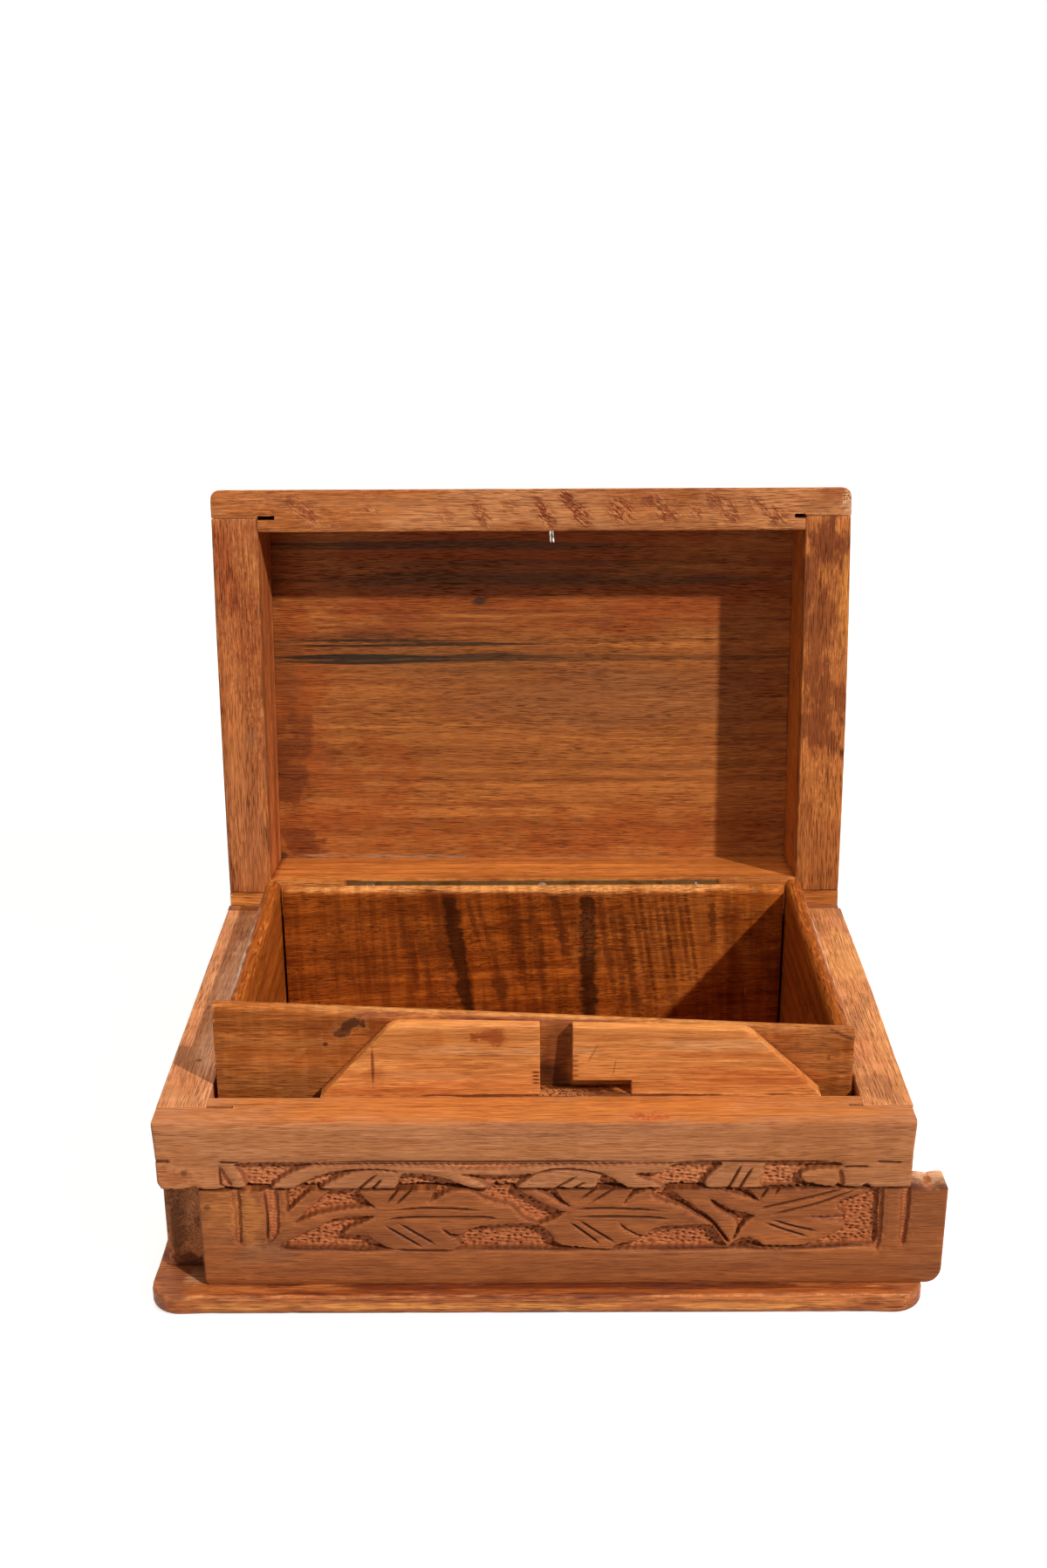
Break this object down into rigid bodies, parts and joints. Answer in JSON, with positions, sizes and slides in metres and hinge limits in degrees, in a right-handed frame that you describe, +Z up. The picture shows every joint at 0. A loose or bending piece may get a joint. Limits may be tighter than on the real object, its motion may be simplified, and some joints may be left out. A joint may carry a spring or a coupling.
{
  "type": "stationery box",
  "caption": "Wooden stationery box with a hinged lid, a lined compartment and a carved front panel that slides sideways to lock the lid.",
  "frame": {"origin": "centre of the base plate's underside, which rests on the table", "axes": "+X to the right seen from the front, the way the lock panel slides open; +Y to the back, where the lid is hinged; +Z up"},
  "size_m": [0.2693, 0.2508, 0.2407],
  "materials": {
    "board_wood": "oiled walnut boards, worn at the edges",
    "carved_wood": "oiled walnut, hand carved",
    "lock_wood": "planed and oiled walnut",
    "lining_wood": "thin planed walnut boards, oiled",
    "lid_panel_wood": "dark streaked walnut plank, oiled",
    "base_wood": "moulded walnut plank, worn edges",
    "hinge_brass": "tarnished rolled strip",
    "screw_steel": "plain countersunk screws",
    "wire_steel": "bright bent wire",
    "nail_steel": "plain wire nails"
  },
  "bodies": {
    "case": {"base_plate": "base_wood", "base_nails": "nail_steel", "front_rail": "carved_wood", "left_side": "board_wood", "right_side": "board_wood", "back_board": "board_wood", "lining_front": "lining_wood", "lining_left": "lining_wood", "lining_right": "lining_wood", "lining_back": "lining_wood", "hinge_leaf_case": "hinge_brass", "hinge_pin": "hinge_brass", "case_hinge_screws": "screw_steel"},
    "slide": {"slide_panel": "carved_wood", "lock_board": "lock_wood"},
    "lid": {"lid_front_rail": "board_wood", "lid_back_rail": "board_wood", "lid_left_rail": "board_wood", "lid_right_rail": "board_wood", "lid_top": "lid_panel_wood", "lock_staple": "wire_steel", "hinge_leaf_lid": "hinge_brass", "lid_hinge_screws": "screw_steel"}
  },
  "joints": [
    {"name": "panel_slide", "type": "slide", "parent": "case", "child": "slide", "axis": [1, 0, 0], "range_m": [-0.0134, 0]},
    {"name": "lid_hinge", "type": "hinge", "parent": "case", "child": "lid", "pos_m": [0, 0.08385, 0.0698], "axis": [1, 0, 0], "range_deg": [0, 98.5]}
  ]
}
